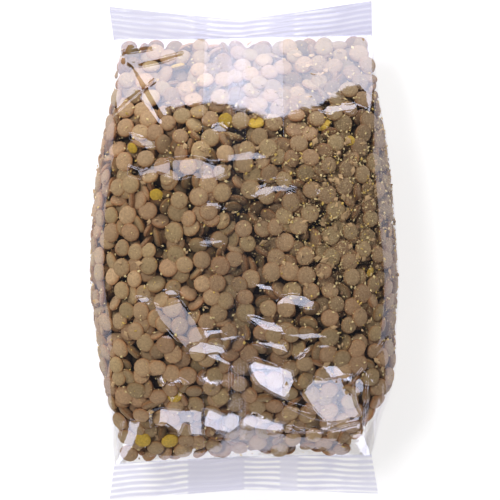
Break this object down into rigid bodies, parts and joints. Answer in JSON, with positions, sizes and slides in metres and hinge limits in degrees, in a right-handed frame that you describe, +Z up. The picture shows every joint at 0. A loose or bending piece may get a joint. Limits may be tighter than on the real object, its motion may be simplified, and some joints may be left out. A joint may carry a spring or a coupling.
{
  "type": "bag of lentils",
  "caption": "Clear film pillow bag of brown lentils lying flat, with ribbed seals at both ends and a ribbed back seam along its upper face.",
  "frame": {"origin": "on the table, under the middle of the bag's length and width", "axes": "+X across the bag, +Y along it towards the top seal, +Z up towards the face with the back seam"},
  "size_m": [0.1082, 0.176, 0.0549],
  "materials": {
    "lentils": "satin, tan-brown lentils with darker gaps between them",
    "film": "glossy clear packaging film"
  },
  "bodies": {
    "root": {"lentil_filling": "lentils", "film_seals": "film"}
  },
  "joints": []
}
